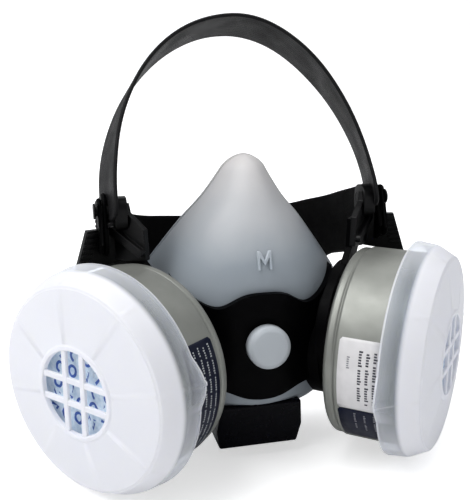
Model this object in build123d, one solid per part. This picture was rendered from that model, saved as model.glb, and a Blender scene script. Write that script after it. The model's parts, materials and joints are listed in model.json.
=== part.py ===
"""Half-mask respirator with two canister cartridges, filter covers, valves and an elastic harness.

Frame: the origin is the middle of the line between the two cartridges' rear faces, where the
wearer's mouth looks out.  +Z is up, -Y is forward (away from the wearer), +X is the right-hand
side as seen by someone facing the mask.  Lengths are in millimetres.
"""

from build123d import *
import math
import os

# ---------------------------------------------------------------- driving dimensions
CAN_RADIUS = 43.0            # metal can body
CAN_WALL = 0.8
PORT_OFFSET = 47.05          # rear face centre of each can, from the mirror plane
SPLAY = 50.0                 # angle of each can's axis from straight ahead, degrees

FACE_WALL = 3.0              # rubber of the facepiece
SEAL_LIP = 11.0              # how far the sealing lip turns in behind the opening
YOKE_WALL = 3.0
YOKE_BACK = 18.0             # how far back the yoke's shell wraps round the facepiece
GAP = 0.4                    # assembly gap between moulded pieces
RUNNING = 0.05               # radial clearance of a turning or sliding fit

STRAP_WIDTH = 26.0
STRAP_THICK = 1.6
CROWN_LEAN = 21.0            # the crown strap's arch leans back from upright, degrees
CROWN_HALF_WIDTH = 60.0
CROWN_RISE = 77.0
NAPE_HALF_WIDTH = 62.5
NAPE_DEPTH = 110.0
NAPE_DROP = 18.65            # the neck strap slopes down towards the back, degrees

# stations along a can's axis, from its rear face outwards
CAN_STEP = 4.9               # rear rim ends, full-size body begins
CAN_FRONT = 35.0
SKIRT_EDGE = 24.9            # open end of the filter cover's skirt
FACE_EDGE = 41.5             # outer edge of the cover's front face
GRILLE_TOP = 45.1
HUB_FRONT = -2.2             # port connector hub, towards the wearer from the can
HUB_WEB = -7.4
PORT_SEAT = -9.4             # connector shoulder on the facepiece's boss
INNER_SEAT = -17.0           # inside face of the facepiece's boss
VALVE_SEAT = -19.0

# radii around a can's axis
REAR_RIM_R = 41.6
SKIRT_R = 49.1
FACE_R = 41.6
GRILLE_R = 18.7
GRILLE_BAR = 2.6
GRILLE_PITCH = 9.6
COVER_WALL = 1.2
NECK_R = 17.7
NECK_BORE = 14.0
HUB_R = 21.8
TUBE_R = 15.3
TUBE_BORE = 13.0
BOSS_R = 24.0
PORT_RING_R = 30.0           # yoke's plate behind each can, off centre from the port
COLLAR_WALL = 2.6
PORT_RING_RAISE = 5.0
PORT_RING_OUT = 3.0

# exhalation valve under the chin
CHIN_Y = 9.5
CHIN_Z = -26.0
CHIN_PORT_R = 11.5

# harness pins, one each side, on one line across the mask
PIN_Y = 16.8
PIN_Z = 62.2
PIN_R = 2.2
PIN_HEAD_R = 3.4

BUTTON_R = 9.2
BUTTON_STEM_R = 4.0
BUTTON_CENTRE = (0, -25.3, 9.4)
BUTTON_TILT = 7.0

# angles round the can, from its top towards the wearer's nose
MAIN_LABEL = {"right": (110.5, 141), "left": (61, 135)}
DATE_LABEL = (68, 110)
PULL_TAB = {"right": 97, "left": 78}
LABEL_BACK = 6.6
LABEL_FRONT = 24.0


# ---------------------------------------------------------------- helpers
def can_plane(station=0.0):
    """Right-hand can's plane: Z runs out along the can's axis, X runs straight up."""
    splay = math.radians(SPLAY)
    outward = Vector(math.sin(splay), -math.cos(splay), 0)
    rear = Vector(PORT_OFFSET, 0, 0)
    return Plane(origin=rear + outward * station, x_dir=(0, 0, 1), z_dir=outward)


def disc(radius, start, end, bore=0.0, plane=None):
    """A round plate or ring between two stations on the can's axis."""
    base = can_plane(start) if plane is None else plane.offset(start)
    with BuildPart() as body:
        with BuildSketch(base):
            Circle(radius)
            if bore:
                Circle(bore, mode=Mode.SUBTRACT)
        extrude(amount=end - start)
    return body.part


def side_plate(outline, start, end):
    """A plate parallel to the can's rear face.  Outline points are (outwards, up)."""
    flat = [(up, -out) for out, up in outline]
    with BuildPart() as body:
        with BuildSketch(can_plane(start)):
            Polygon(*flat, align=None)
        extrude(amount=end - start)
    return body.part


def turned(profile):
    """A solid turned about the can's axis from (radius, station) points."""
    splay = math.radians(SPLAY)
    meridian = Plane(
        origin=(PORT_OFFSET, 0, 0),
        x_dir=(0, 0, 1),
        z_dir=(math.cos(splay), math.sin(splay), 0),
    )
    with BuildPart() as body:
        with BuildSketch(meridian):
            with BuildLine():
                Polyline(*profile, close=True)
            make_face()
        revolve(axis=Axis(meridian.origin, meridian.y_dir))
    return body.part


def soften(part, radius, edges=None):
    """Round edges where the radius fits, and leave the solid as it is where it doesn't."""
    chosen = part.edges() if edges is None else edges
    try:
        return fillet(chosen, radius)
    except Exception:
        return part


# ---------------------------------------------------------------- facepiece
# height, half width, front of the section, back of the section
MIN_SECTION = 1.5
FACE_SECTIONS = (
    (-26, 38, -9, 30),
    (-14, 44, -13, 35),
    (5, 46, -14.5, 38),
    (26, 46, -15, 37),
    (45, 34, -14, 32),
    (65, 20, -2, 27),
    (84, 5, 14, 22),
)


def face_volume(grow=0.0, behind=0.0):
    """The facepiece's outer form as a solid, grown by an offset and run on past its back."""
    with BuildPart() as body:
        for height, half, front, back in FACE_SECTIONS:
            if height == FACE_SECTIONS[0][0]:
                height -= grow
            elif height == FACE_SECTIONS[-1][0]:
                height += grow
            wide = max(half + grow, MIN_SECTION)
            deep = max(back - front + grow, 2 * MIN_SECTION)
            with BuildSketch(Plane.XY.offset(height)):
                with BuildLine():
                    rim = EllipticalCenterArc((0, back), wide, deep, start_angle=180, arc_size=180)
                    if behind:
                        Polyline(rim @ 1, (wide, back + behind), (-wide, back + behind), rim @ 0)
                    else:
                        Line(rim @ 1, rim @ 0)
                make_face()
        loft()
    return body.part


def facepiece():
    """Soft rubber cup with a turned-in sealing lip, two side ports and a chin port."""
    outer = face_volume()
    inner = face_volume(-FACE_WALL, behind=30)
    throat = face_volume(-SEAL_LIP, behind=30)
    lip = outer - outer.moved(Location((0, -2.0, 0)))
    shell = (outer - inner) + (lip - throat)
    for side in (1, -1):
        boss = disc(BOSS_R, INNER_SEAT, PORT_SEAT - 0.2)
        spot_face = disc(BOSS_R - 1.5, INNER_SEAT - 14, INNER_SEAT)
        port = disc(TUBE_R + 0.2, INNER_SEAT - 20, 0)
        front = disc(BOSS_R + GAP, PORT_SEAT - 0.2, 10)
        tools = [boss, spot_face, port, front]
        if side < 0:
            tools = [mirror(tool, about=Plane.YZ) for tool in tools]
        shell = shell + tools[0] - tools[1] - tools[2] - tools[3]
    chin = Plane((0, CHIN_Y, CHIN_Z))
    shell += disc(CHIN_PORT_R + 2, -1, 5, plane=chin)
    shell -= disc(CHIN_PORT_R, -20, 20, plane=chin)
    return shell


# ---------------------------------------------------------------- yoke
def yoke_outline():
    """Front view of the yoke: a round lobe about the button, running out into both sides."""
    top = [(0, 31), (10, 29.4), (19.2, 24.6), (28, 27.6), (36.5, 35)]
    bottom = [(0, -17.9), (9, -16.6), (16.5, -13.6), (24, -12.8), (36.5, -15.6)]
    over = [(-x, z) for x, z in reversed(top[1:])] + top
    under = [(x, z) for x, z in reversed(bottom)] + [(-x, z) for x, z in bottom[1:]]
    with BuildSketch(Plane.XZ.offset(-YOKE_BACK)) as outline:
        with BuildLine():
            upper = Spline(*over)
            lower = Spline(*under)
            Line(upper @ 1, lower @ 0)
            Line(lower @ 1, upper @ 0)
        make_face()
    return outline.sketch


def port_ring():
    """Plate round the port that stands wide of it above and away from the nose."""
    with BuildPart() as plate:
        with BuildSketch(can_plane(PORT_SEAT)):
            with Locations((PORT_RING_RAISE, -PORT_RING_OUT)):
                Circle(PORT_RING_R)
        extrude(amount=HUB_WEB + YOKE_WALL - PORT_SEAT)
    return plate.part


def yoke():
    """Moulded frame that hugs the front, rings both ports and reaches up to the harness clips."""
    slab = extrude(yoke_outline(), amount=YOKE_BACK + 60)
    frame = face_volume(GAP + YOKE_WALL) & slab
    ring = port_ring()
    collar = disc(BOSS_R + COLLAR_WALL, PORT_SEAT - 13, HUB_WEB, bore=BOSS_R + GAP)
    arm_outline = [(-6, 24), (1, 36), (6.5, 41), (7.5, 54), (20, 54), (22, 48), (14, 36), (16, 16)]
    arm = side_plate(arm_outline, HUB_WEB, HUB_WEB + YOKE_WALL)
    for piece in (ring, collar, arm):
        frame = frame + piece + mirror(piece, about=Plane.YZ)
    frame -= face_volume(GAP, behind=40)
    for tool in (disc(HUB_R + GAP, -14, 10), disc(BOSS_R + GAP, -40, PORT_SEAT + 0.2)):
        frame = frame - tool - mirror(tool, about=Plane.YZ)
    frame -= disc(BUTTON_STEM_R + RUNNING, -20, 30, plane=button_plane())
    frame -= disc(BUTTON_R + 0.3, -6.2, 30, plane=button_plane())
    return frame


def button_plane():
    tilt = math.radians(BUTTON_TILT)
    return Plane(origin=BUTTON_CENTRE, x_dir=(1, 0, 0), z_dir=(0, -math.cos(tilt), math.sin(tilt)))


def yoke_button():
    """Round snap plug in the middle of the yoke, with a soft front edge."""
    head = disc(BUTTON_R, -6.0, 0, plane=button_plane())
    stem = disc(BUTTON_STEM_R, -9.2, -5, plane=button_plane())
    return soften(head, 1.4) + stem


# ---------------------------------------------------------------- port connectors and valves
STUD_R = 1.4
FLAP_THICK = 0.8


def spider(radius, start, end, plane=None):
    """Three spokes and a hub across a port, to hold the middle of a valve flap."""
    base = can_plane(start) if plane is None else plane.offset(start)
    with BuildPart() as body:
        with BuildSketch(base):
            Circle(3.0)
            for turn in range(3):
                with Locations(Rotation(0, 0, 120 * turn)):
                    with Locations((radius / 2, 0)):
                        Rectangle(radius, 1.8)
        extrude(amount=end - start)
    return body.part


def port_connector():
    """Rigid bush through the facepiece: inner flange, tube, valve seat and cartridge hub."""
    tube = turned(
        [
            (TUBE_BORE, VALVE_SEAT),
            (20.0, VALVE_SEAT),
            (20.0, INNER_SEAT - 0.2),
            (TUBE_R, INNER_SEAT - 0.2),
            (TUBE_R, PORT_SEAT),
            (HUB_R, PORT_SEAT),
            (HUB_R, HUB_FRONT),
            (NECK_R + RUNNING, HUB_FRONT),
            (NECK_R + RUNNING, HUB_WEB),
            (TUBE_BORE, HUB_WEB),
        ]
    )
    stud = disc(STUD_R, VALVE_SEAT - 3.6, VALVE_SEAT + 1)
    head = disc(2.4, VALVE_SEAT - 4.6, VALVE_SEAT - 3.6)
    return tube + spider(TUBE_BORE + 0.5, VALVE_SEAT, VALVE_SEAT + 1.8) + stud + head


def inhalation_flap():
    """Thin rubber disc that lies over the wearer's side of the port."""
    far = VALVE_SEAT - 0.1 - FLAP_THICK
    return disc(TUBE_BORE + 1.5, far, VALVE_SEAT - 0.1, bore=STUD_R + RUNNING)


def port_gasket():
    return disc(NECK_R + 5.8, HUB_FRONT + 0.1, -0.1, bore=NECK_R + 0.4)


# ---------------------------------------------------------------- cartridge
def cartridge_neck():
    """Plastic neck crimped into the back of the can; it turns in the port connector."""
    return turned(
        [
            (NECK_BORE, HUB_WEB + 0.6),
            (NECK_R, HUB_WEB + 0.6),
            (NECK_R, CAN_WALL + 0.1),
            (23.0, CAN_WALL + 0.1),
            (23.0, 3.4),
            (NECK_BORE, 3.4),
        ]
    )


def can_shell():
    """Drawn tin can: stepped rear rim, straight side and a rolled front edge."""
    inside = CAN_RADIUS - CAN_WALL
    return turned(
        [
            (NECK_R + 0.1, 0),
            (REAR_RIM_R - 1.0, 0),
            (REAR_RIM_R, 1.0),
            (REAR_RIM_R, CAN_STEP - 0.7),
            (CAN_RADIUS, CAN_STEP + 0.5),
            (CAN_RADIUS, CAN_FRONT),
            (inside - 0.9, CAN_FRONT),
            (inside - 0.9, CAN_FRONT - 0.8),
            (inside, CAN_FRONT - 1.6),
            (inside, CAN_STEP + 0.9),
            (REAR_RIM_R - CAN_WALL, CAN_STEP),
            (REAR_RIM_R - CAN_WALL, 1.5),
            (REAR_RIM_R - CAN_WALL - 0.8, CAN_WALL),
            (NECK_R + 0.1, CAN_WALL),
        ]
    )


PACK_R = REAR_RIM_R - CAN_WALL - 0.3      # everything packed inside the can


def rear_felt():
    return disc(PACK_R, 3.6, 5.0)


def sorbent_bed():
    return disc(PACK_R, 5.1, 29.0)


def retaining_screen():
    """Perforated plate that holds the sorbent bed down: rings of round holes."""
    plate = disc(PACK_R, 29.1, 30.1)
    with BuildPart() as holes:
        with BuildSketch(can_plane(28)):
            for ring in range(1, 5):
                with PolarLocations(ring * 8.0, ring * 6):
                    Circle(2.2)
        extrude(amount=3)
    return plate - holes.part


def prefilter_pad():
    """Round fibre pad held behind the cover's grille."""
    return disc(FACE_R - 1.0, CAN_FRONT + 0.3, FACE_EDGE - COVER_WALL - 0.4)


def filter_cover(tab_turn):
    """Push-on cover: flared skirt, rounded shoulder, coned face and a barred grille."""
    grip = CAN_RADIUS + 0.15             # inner ring that grips the can
    grip_outside = CAN_RADIUS + COVER_WALL
    grip_edge = 29.0
    outside = [
        (SKIRT_R, SKIRT_EDGE),
        (SKIRT_R, 33.5),
        (SKIRT_R - 0.9, 36.6),
        (SKIRT_R - 3.8, 39.7),
        (FACE_R, FACE_EDGE),
        (GRILLE_R + 1.6, GRILLE_TOP - 1.1),
        (GRILLE_R, GRILLE_TOP),
    ]
    inside = [
        (GRILLE_R - 1.3, GRILLE_TOP),
        (GRILLE_R - 1.3, GRILLE_TOP - 2.2),
        (FACE_R - 0.2, FACE_EDGE - COVER_WALL),
        (grip, 38.4),
        (grip, grip_edge),
        (grip_outside, grip_edge),
        (grip_outside, 37.9),
        (SKIRT_R - COVER_WALL - 0.9, 35.8),
        (SKIRT_R - COVER_WALL, 33.0),
        (SKIRT_R - COVER_WALL, SKIRT_EDGE),
    ]
    return turned(outside + inside) + grille() + pull_tab(tab_turn)


def grille():
    """Two bars each way across the round window in the middle of the cover."""
    with BuildPart() as bars:
        with BuildSketch(can_plane(GRILLE_TOP - 1.9)):
            with GridLocations(GRILLE_PITCH, 0, 2, 1):
                Rectangle(GRILLE_BAR, 2 * GRILLE_R)
            with GridLocations(0, GRILLE_PITCH, 1, 2):
                Rectangle(2 * GRILLE_R, GRILLE_BAR)
            Circle(GRILLE_R - 0.8, mode=Mode.INTERSECT)
        extrude(amount=1.4)
    return bars.part


def pull_tab(turn):
    """Flat finger tab on the skirt's edge, on the side towards the wearer's nose."""
    with BuildPart() as tab:
        with BuildSketch(can_plane(SKIRT_EDGE)):
            with Locations(Rotation(0, 0, turn)):
                with Locations((SKIRT_R - 0.4, 0)):
                    RectangleRounded(6.0, 15.0, 2.4)
        extrude(amount=1.3)
    return tab.part - disc(SKIRT_R - 0.9, SKIRT_EDGE - 1, SKIRT_EDGE + 3)


def can_label(start_turn, end_turn):
    """A paper label wrapped part of the way round the can."""
    band = disc(CAN_RADIUS + 0.2, LABEL_BACK, LABEL_FRONT, bore=CAN_RADIUS + 0.04)
    reach = 2 * CAN_RADIUS
    steps = 8
    fan = [(0, 0)]
    for step in range(steps + 1):
        turn = math.radians(start_turn + (end_turn - start_turn) * step / steps)
        fan.append((reach * math.cos(turn), reach * math.sin(turn)))
    with BuildPart() as wedge:
        with BuildSketch(can_plane(LABEL_BACK - 1)):
            Polygon(*fan, align=None)
        extrude(amount=LABEL_FRONT - LABEL_BACK + 2)
    return band & wedge.part


# ---------------------------------------------------------------- exhalation valve
def chin_plane():
    """Under the chin: Z runs down and out of the valve."""
    return Plane(origin=(0, CHIN_Y, CHIN_Z), x_dir=(1, 0, 0), z_dir=(0, 0, -1))


def exhalation_seat():
    bore = CHIN_PORT_R - 1.8
    tube = disc(CHIN_PORT_R - 0.1, -7, 3, bore=bore, plane=chin_plane())
    flange = disc(CHIN_PORT_R + 2.2, -7, -5.2, bore=bore, plane=chin_plane())
    rim = disc(CHIN_PORT_R + 1.7, 1.3, 3, bore=bore, plane=chin_plane())
    stud = disc(STUD_R, 1.2, 7.2, plane=chin_plane())
    head = disc(2.4, 7.2, 8.2, plane=chin_plane())
    return tube + flange + rim + spider(bore + 0.4, 1.2, 3, plane=chin_plane()) + stud + head


def exhalation_flap():
    return disc(CHIN_PORT_R, 3.1, 3.1 + FLAP_THICK, bore=STUD_R + RUNNING, plane=chin_plane())


def valve_guard():
    """Open-topped hood below the chin that shields the exhalation valve and vents downwards."""
    half = 18.0
    ridge = 19.6
    wall = 2.0
    side_view = [(-13.1, -21.3), (-8, -44), (22, -44), (25.5, -28), (25.5, -25)]
    front_view = [(half, -20.8), (ridge, -34.4), (half, -44), (-half, -44), (-ridge, -34.4), (-half, -20.8)]
    inside_view = [(-11.3, -15), (-6.3, -42), (20.3, -42), (23.5, -28), (23.5, -15)]
    with BuildPart() as hood:
        with BuildSketch(Plane.YZ):
            Polygon(*side_view, align=None)
        extrude(amount=ridge + 1, both=True)
        with BuildSketch(Plane.XZ):
            Polygon(*front_view, align=None)
        extrude(amount=60, both=True, mode=Mode.INTERSECT)
    body = soften(hood.part, 1.2)
    with BuildPart() as hollow:
        with BuildSketch(Plane.YZ):
            Polygon(*inside_view, align=None)
        extrude(amount=half - wall, both=True)
    with BuildPart() as vents:
        with BuildSketch(Plane.XY.offset(-50)):
            with Locations((0, CHIN_Y + 1)):
                with GridLocations(7.0, 0, 4, 1):
                    SlotOverall(20, 3.4, rotation=90)
        extrude(amount=10)
    return body - hollow.part - face_volume(GAP, behind=6) - vents.part


# ---------------------------------------------------------------- harness clips and pins
CLIP_BACK = HUB_WEB + YOKE_WALL + 0.2
WING_TOP = 54.5


def clip_wing():
    """Finger grip that stands out sideways from the clip, with ribs along its slanted edge."""
    swing = math.radians(14.8)
    sideways = Vector(math.cos(swing), -math.sin(swing), 0)
    forward = Vector(-math.sin(swing), -math.cos(swing), 0)
    upright = Plane(origin=Vector(57, 16.5, 0), x_dir=sideways, z_dir=forward)
    top_reach = 13.6
    low_reach = 19.4
    low = 36.4
    slant = (low_reach - top_reach) / (WING_TOP - low)
    rib_length = 5.0
    with BuildPart() as wing:
        with BuildSketch(upright):
            Polygon((-1.5, low + 3.4), (-1.5, WING_TOP), (top_reach, WING_TOP), (low_reach, low), (12, low + 1), align=None)
        extrude(amount=-3)
        with BuildSketch(upright):
            for rib in range(6):
                height = WING_TOP - 1.6 - 2.3 * rib
                edge = top_reach + slant * (WING_TOP - height)
                with Locations((edge - rib_length / 2 - 0.4, height)):
                    Rectangle(rib_length, 1.1)
        extrude(amount=0.9)
    return wing.part - disc(2 * CAN_RADIUS, CLIP_BACK - 20, CLIP_BACK)


def harness_clip():
    """Clip on the end of the yoke's arm: plate with a raised bar, pin ear and finger wing."""
    plate_outline = [
        (2, 43),
        (3, 56),
        (8, 59.5),
        (12, 62),
        (13, 66),
        (17, 66),
        (20.4, WING_TOP),
        (20.4, 41),
        (13, 41),
    ]
    plate = side_plate(plate_outline, CLIP_BACK, -1.6)
    with BuildPart() as bar:
        with BuildSketch(can_plane(-2)):
            with Locations((50, -12)):
                SlotOverall(21, 3.6, rotation=-65)
        extrude(amount=2.6)
    ear = Box(5.2, 12, 14).moved(Location((56.0, PIN_Y - 2.5, 61.5)))
    ear = soften(ear, 4.5, ear.edges().filter_by(Axis.X))
    keep = Box(60, 80, 80).moved(Location((58.8 - 30, 0, WING_TOP + 40)))
    upper = (plate + ear) & keep
    lower = plate - Box(200, 200, 100).moved(Location((0, 0, WING_TOP + 50)))
    return upper + lower + bar.part + clip_wing() - pin_bore(PIN_R + 0.1)


def pin_bore(radius):
    """The line of the harness pins, as a cylinder right across one side."""
    return Cylinder(radius, 60, rotation=(0, 90, 0)).moved(Location((60, PIN_Y, PIN_Z)))


def harness_pin():
    """Headed pin through the strap ends; its inner end is fixed in the clip."""
    shank = Cylinder(PIN_R, 13.0, rotation=(0, 90, 0)).moved(Location((60.0, PIN_Y, PIN_Z)))
    head = Cylinder(PIN_HEAD_R, 0.8, rotation=(0, 90, 0)).moved(Location((66.7, PIN_Y, PIN_Z)))
    return shank + soften(head, 0.3)


# ---------------------------------------------------------------- straps
def half_loop(half_width, rise, thick, tail):
    """Half an ellipse with straight tails, as a thin band outline drawn about the origin."""
    with BuildSketch() as loop:
        with BuildLine():
            outer = EllipticalCenterArc((0, 0), half_width + thick, rise + thick, arc_size=180)
            inner = EllipticalCenterArc((0, 0), half_width, rise, arc_size=180)
            Polyline(outer @ 0, (half_width + thick, -tail), (half_width, -tail), inner @ 0)
            Polyline(outer @ 1, (-half_width - thick, -tail), (-half_width, -tail), inner @ 1)
        make_face()
    return loop.sketch


def crown_strap():
    """Flat elastic band over the crown of the head, leaning back, with pin holes at its ends."""
    lean = math.radians(CROWN_LEAN)
    up = Vector(0, math.sin(lean), math.cos(lean))
    base = Vector(0, PIN_Y, PIN_Z) + up * 6
    arch = Plane(origin=base, x_dir=(1, 0, 0), z_dir=(0, -math.cos(lean), math.sin(lean)))
    outline = half_loop(CROWN_HALF_WIDTH - 0.6, CROWN_RISE, STRAP_THICK, 11)
    band = extrude(arch * outline, amount=STRAP_WIDTH / 2, both=True)
    band = fillet(band.edges().filter_by(Axis.X), 6.0)
    return band - bores(PIN_R + RUNNING)


def bores(radius):
    one = pin_bore(radius)
    return one + mirror(one, about=Plane.YZ)


def nape_strap():
    """Flat elastic band round the back of the neck, with doubled ends on the pins."""
    drop = math.radians(NAPE_DROP)
    back = Vector(0, math.cos(drop), -math.sin(drop))
    base = Vector(0, PIN_Y, PIN_Z) + back * 13 - Vector(0, math.sin(drop), math.cos(drop)) * 5.5
    sling = Plane(origin=base, x_dir=(1, 0, 0), z_dir=(0, math.sin(drop), math.cos(drop)))
    inside = NAPE_HALF_WIDTH - 1.0
    band = extrude(sling * half_loop(inside, NAPE_DEPTH, 1.8, 18), amount=13.5, both=True)
    fold = Box(2.4, 20, 27).moved(Location((inside + 3.0, -8, 0)))
    band += sling * fold + sling * mirror(fold, about=Plane.YZ)
    band -= Box(200, 60, 60).moved(Location((0, 27 - 30, 57 - 30)))
    return band - bores(PIN_R + RUNNING)


# ---------------------------------------------------------------- write every piece
def main():
    os.makedirs("parts", exist_ok=True)
    middle = {
        "facepiece": facepiece,
        "yoke": yoke,
        "yoke_button": yoke_button,
        "exhalation_valve_seat": exhalation_seat,
        "exhalation_valve_flap": exhalation_flap,
        "exhalation_valve_guard": valve_guard,
        "crown_strap": crown_strap,
        "nape_strap": nape_strap,
    }
    paired = {
        "port_connector": port_connector,
        "inhalation_valve_flap": inhalation_flap,
        "port_gasket": port_gasket,
        "cartridge_neck": cartridge_neck,
        "canister_shell": can_shell,
        "rear_dust_felt": rear_felt,
        "sorbent_bed": sorbent_bed,
        "retaining_screen": retaining_screen,
        "prefilter_pad": prefilter_pad,
        "harness_clip": harness_clip,
        "harness_pin": harness_pin,
    }
    one_sided = {
        "filter_cover": lambda side: filter_cover(PULL_TAB[side]),
        "canister_label": lambda side: can_label(*MAIN_LABEL[side]),
    }
    for name, make in middle.items():
        export_step(make(), f"parts/{name}.step")
    for name, make in paired.items():
        right = make()
        export_step(right, f"parts/right_{name}.step")
        export_step(mirror(right, about=Plane.YZ), f"parts/left_{name}.step")
    for name, make in one_sided.items():
        export_step(make("right"), f"parts/right_{name}.step")
        export_step(mirror(make("left"), about=Plane.YZ), f"parts/left_{name}.step")
    export_step(can_label(*DATE_LABEL), "parts/right_service_label.step")


main()
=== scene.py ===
import json
from math import cos, degrees, hypot, pi, radians, sin, sqrt

import bpy
import bmesh
import numpy as np
from mathutils import Matrix, Vector


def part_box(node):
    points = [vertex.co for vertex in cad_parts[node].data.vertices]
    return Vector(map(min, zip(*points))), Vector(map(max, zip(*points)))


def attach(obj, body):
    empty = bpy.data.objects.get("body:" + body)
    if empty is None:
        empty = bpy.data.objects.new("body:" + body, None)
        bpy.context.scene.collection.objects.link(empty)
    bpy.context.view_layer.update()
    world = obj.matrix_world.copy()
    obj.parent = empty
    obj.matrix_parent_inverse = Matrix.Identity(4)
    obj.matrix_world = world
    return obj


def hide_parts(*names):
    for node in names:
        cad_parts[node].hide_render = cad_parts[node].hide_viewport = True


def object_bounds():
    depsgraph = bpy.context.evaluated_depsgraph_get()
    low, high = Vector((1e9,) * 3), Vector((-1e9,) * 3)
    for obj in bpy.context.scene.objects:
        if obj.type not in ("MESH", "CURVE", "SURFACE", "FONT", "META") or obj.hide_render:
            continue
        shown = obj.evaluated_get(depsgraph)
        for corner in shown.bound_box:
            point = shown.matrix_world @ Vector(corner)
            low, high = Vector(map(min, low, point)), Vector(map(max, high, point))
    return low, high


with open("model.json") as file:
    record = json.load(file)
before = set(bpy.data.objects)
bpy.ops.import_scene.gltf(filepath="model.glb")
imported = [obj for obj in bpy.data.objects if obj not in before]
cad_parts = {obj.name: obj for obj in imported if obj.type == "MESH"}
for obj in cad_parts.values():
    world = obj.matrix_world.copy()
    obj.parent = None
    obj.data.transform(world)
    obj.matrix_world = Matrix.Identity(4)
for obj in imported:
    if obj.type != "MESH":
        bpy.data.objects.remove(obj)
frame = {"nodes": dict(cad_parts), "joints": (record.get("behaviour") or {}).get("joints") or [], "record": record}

START_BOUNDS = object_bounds()
MM = 0.001
JOINTS = {joint["name"]: joint for joint in frame["joints"]}
UP = Vector((0, 0, 1))

# ---------------------------------------------------------------- measures taken from the frame
PIN = Vector(JOINTS["crown_strap_swing"]["pos_m"])
FACE_LOW, FACE_HIGH = (Vector(corner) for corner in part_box("facepiece"))
FACE_BOTTOM = FACE_LOW.z
FACE_TOP = FACE_HIGH.z
FACE_TALL = FACE_TOP - FACE_BOTTOM


class Axle:
    """A centre line with its own directions, for placing round parts."""

    def __init__(self, origin, out, start, across):
        self.origin = Vector(origin)
        self.out = Vector(out).normalized()
        self.start = start
        self.across = across

    def at(self, radius, turn, station):
        """A point by radius, angle from the start direction, and distance out along the line."""
        spread = self.start * cos(turn) + self.across * sin(turn)
        return self.origin + self.out * station + spread * radius

    def flat(self, across, up, station):
        """A point by its distances across, up and out along the line."""
        return self.origin + self.out * station + self.across * across + UP * up

    def station_of(self, spot):
        """Distance of a point out along the line."""
        return (spot - self.origin).dot(self.out)

    def radius_of(self, spot):
        """Distance of a point from the line."""
        away = spot - self.origin
        return (away - self.out * away.dot(self.out)).length

    def measure(self, node):
        """Largest radius, lowest station and highest station of a CAD node."""
        spots = np.array([v.co for v in frame["nodes"][node].data.vertices], float)
        spots = spots - np.array(self.origin)
        station = spots @ np.array(self.out)
        radius = np.linalg.norm(spots - np.outer(station, np.array(self.out)), axis=1)
        return radius.max(), station.min(), station.max()

    def bore(self, node):
        """Smallest radius of a CAD node."""
        return min(self.radius_of(v.co) for v in frame["nodes"][node].data.vertices)


def can_axle(side):
    """A canister's line out of its rear face; its turns are counted from the top towards the nose."""
    joint = JOINTS[f"{side}_cartridge_twist"]
    out = Vector(joint["axis"]).normalized()
    across = UP.cross(out)
    sign = 1 if side == "right" else -1
    axle = Axle(joint["pos_m"], out, UP, across if across.x * sign < 0 else -across)
    axle.side = side
    axle.sign = sign
    return axle


def chin_axle():
    """The exhalation valve's line down out of the chin, from the facepiece's underside."""
    low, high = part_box("exhalation_valve_flap")
    middle = (low + high) / 2
    return Axle((middle.x, middle.y, high.z + 3.1 * MM), -UP, Vector((0, 1, 0)), Vector((1, 0, 0)))


def button_axle():
    mount = next(mount for mount in frame["record"]["mounts"] if mount["name"] == "button_face")
    out = Vector(mount["axis"]).normalized()
    side = Vector((1, 0, 0))
    return Axle(mount["pos_m"], out, side, out.cross(side))


CANS = {side: can_axle(side) for side in ("left", "right")}
CHIN = chin_axle()
BUTTON_AXLE = button_axle()
CHIN_BORE = CHIN.measure("exhalation_valve_seat")[0] - 1.6 * MM
CAN_R, CAN_REAR, CAN_FRONT = CANS["right"].measure("right_canister_shell")
HUB_R, _, HUB_FRONT = CANS["right"].measure("right_port_connector")
PAD_R, PAD_BACK, PAD_FRONT = CANS["right"].measure("right_prefilter_pad")
COVER_BACK, COVER_FRONT = CANS["right"].measure("right_filter_cover")[1:]


# ---------------------------------------------------------------- mesh helpers
def new_piece(name, verts, faces, material, weld=True):
    """Make a smooth mesh piece from points and faces; welding also turns its normals outwards."""
    mesh = bpy.data.meshes.new(name)
    mesh.from_pydata([tuple(v) for v in verts], [], faces)
    if weld:
        shaped = bmesh.new()
        shaped.from_mesh(mesh)
        bmesh.ops.remove_doubles(shaped, verts=shaped.verts, dist=1e-6)
        bmesh.ops.recalc_face_normals(shaped, faces=shaped.faces)
        shaped.to_mesh(mesh)
        shaped.free()
    for face in mesh.polygons:
        face.use_smooth = True
    piece = bpy.data.objects.new(name, mesh)
    bpy.context.scene.collection.objects.link(piece)
    mesh.materials.append(material)
    return piece


def grid_faces(rows, columns, close_rows=False, close_columns=False, first=0):
    """Quads over a rows by columns grid of points, joined round where asked."""
    faces = []
    for row in range(rows if close_rows else rows - 1):
        for column in range(columns if close_columns else columns - 1):
            below = first + row * columns
            above = first + ((row + 1) % rows) * columns
            after = (column + 1) % columns
            faces.append((below + column, below + after, above + after, above + column))
    return faces


def rounded(points, steps=5):
    """A closed outline with each corner (x, y, radius) turned into an arc of short steps."""
    path = []
    count = len(points)
    for index, (x, y, radius) in enumerate(points):
        corner = Vector((x, y))
        before = Vector(points[index - 1][:2]) - corner
        after = Vector(points[(index + 1) % count][:2]) - corner
        reach = min(radius, before.length * 0.49, after.length * 0.49)
        if reach <= 0:
            path.append((x, y))
            continue
        start = corner + before.normalized() * reach
        end = corner + after.normalized() * reach
        for step in range(steps + 1):
            t = step / steps
            spot = start * (1 - t) ** 2 + corner * 2 * t * (1 - t) + end * t ** 2
            path.append((spot.x, spot.y))
    return path


def ring_outline(inner, outer, low, high, soft, soft_high=None, steps=5):
    """Outline of a plain ring between two radii and two stations, corners rounded."""
    top = soft if soft_high is None else soft_high
    return rounded([(inner, low, soft), (outer, low, soft), (outer, high, top), (inner, high, top)], steps)


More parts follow.
